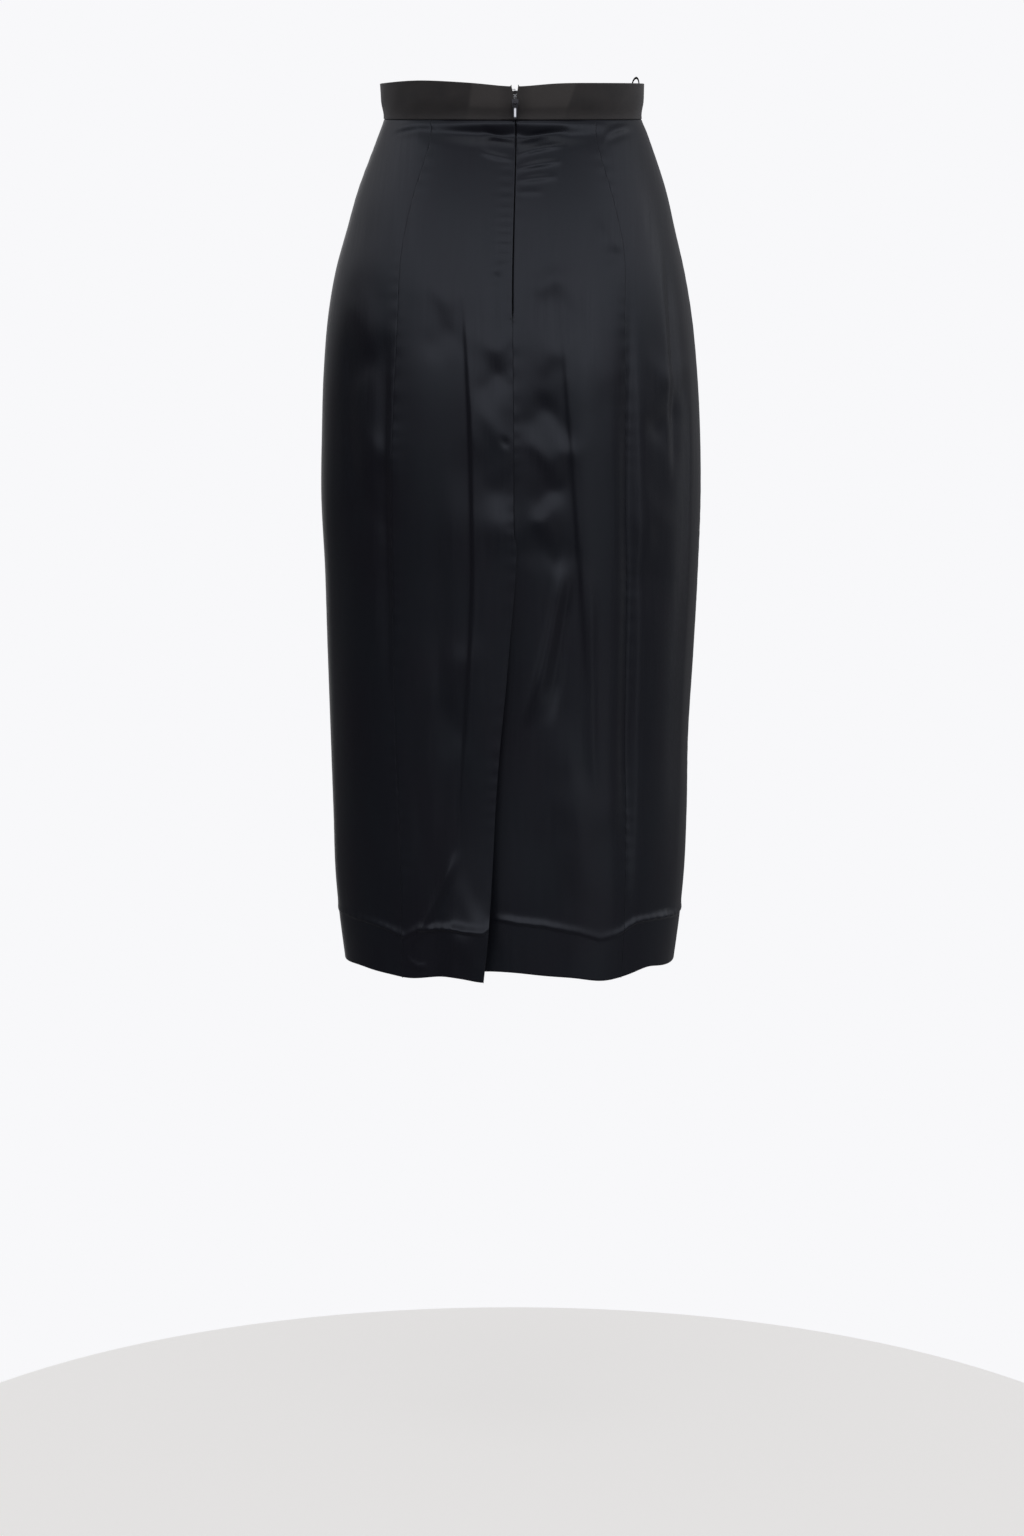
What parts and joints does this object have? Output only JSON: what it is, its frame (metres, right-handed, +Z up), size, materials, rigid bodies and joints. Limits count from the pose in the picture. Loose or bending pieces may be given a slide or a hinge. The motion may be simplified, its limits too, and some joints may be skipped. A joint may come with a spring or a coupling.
{
  "type": "midi skirt",
  "caption": "Worn midi pencil skirt in satin: ribbed waistband, shaped back panels, centre back zip with hook and eye, back vent with overlapping flap, turned-up hem.",
  "frame": {"origin": "centre of the waist, at the height of the seam under the waistband, where the wearer's waist holds the skirt up", "axes": "+Z up, +Y towards the skirt's back, +X towards the wearer's left"},
  "size_m": [0.3156, 0.2303, 0.7371],
  "materials": {
    "satin": "smooth lustrous silk satin, blue-black",
    "ribbon": "matte ribbed ribbon, charcoal black",
    "zip_tape": "matte woven tape",
    "black_nickel": "glossy black nickel plate",
    "steel_wire": "bright drawn wire"
  },
  "bodies": {
    "skirt": {"waistband": "ribbon", "back_left": "satin", "back_right": "satin", "side_back_left": "satin", "side_back_right": "satin", "front": "satin", "zip_tape_left": "zip_tape", "zip_tape_right": "zip_tape", "zip_slider": "black_nickel", "hook": "steel_wire", "eye": "steel_wire", "hanging_loop": "satin"},
    "zip_pull": {"zip_pull": "black_nickel"}
  },
  "joints": [
    {"name": "pull_swing", "type": "hinge", "parent": "skirt", "child": "zip_pull", "pos_m": [-0.00248, 0.08333, 0.0128], "axis": [1, 0, 0], "range_deg": [0, 165]}
  ]
}
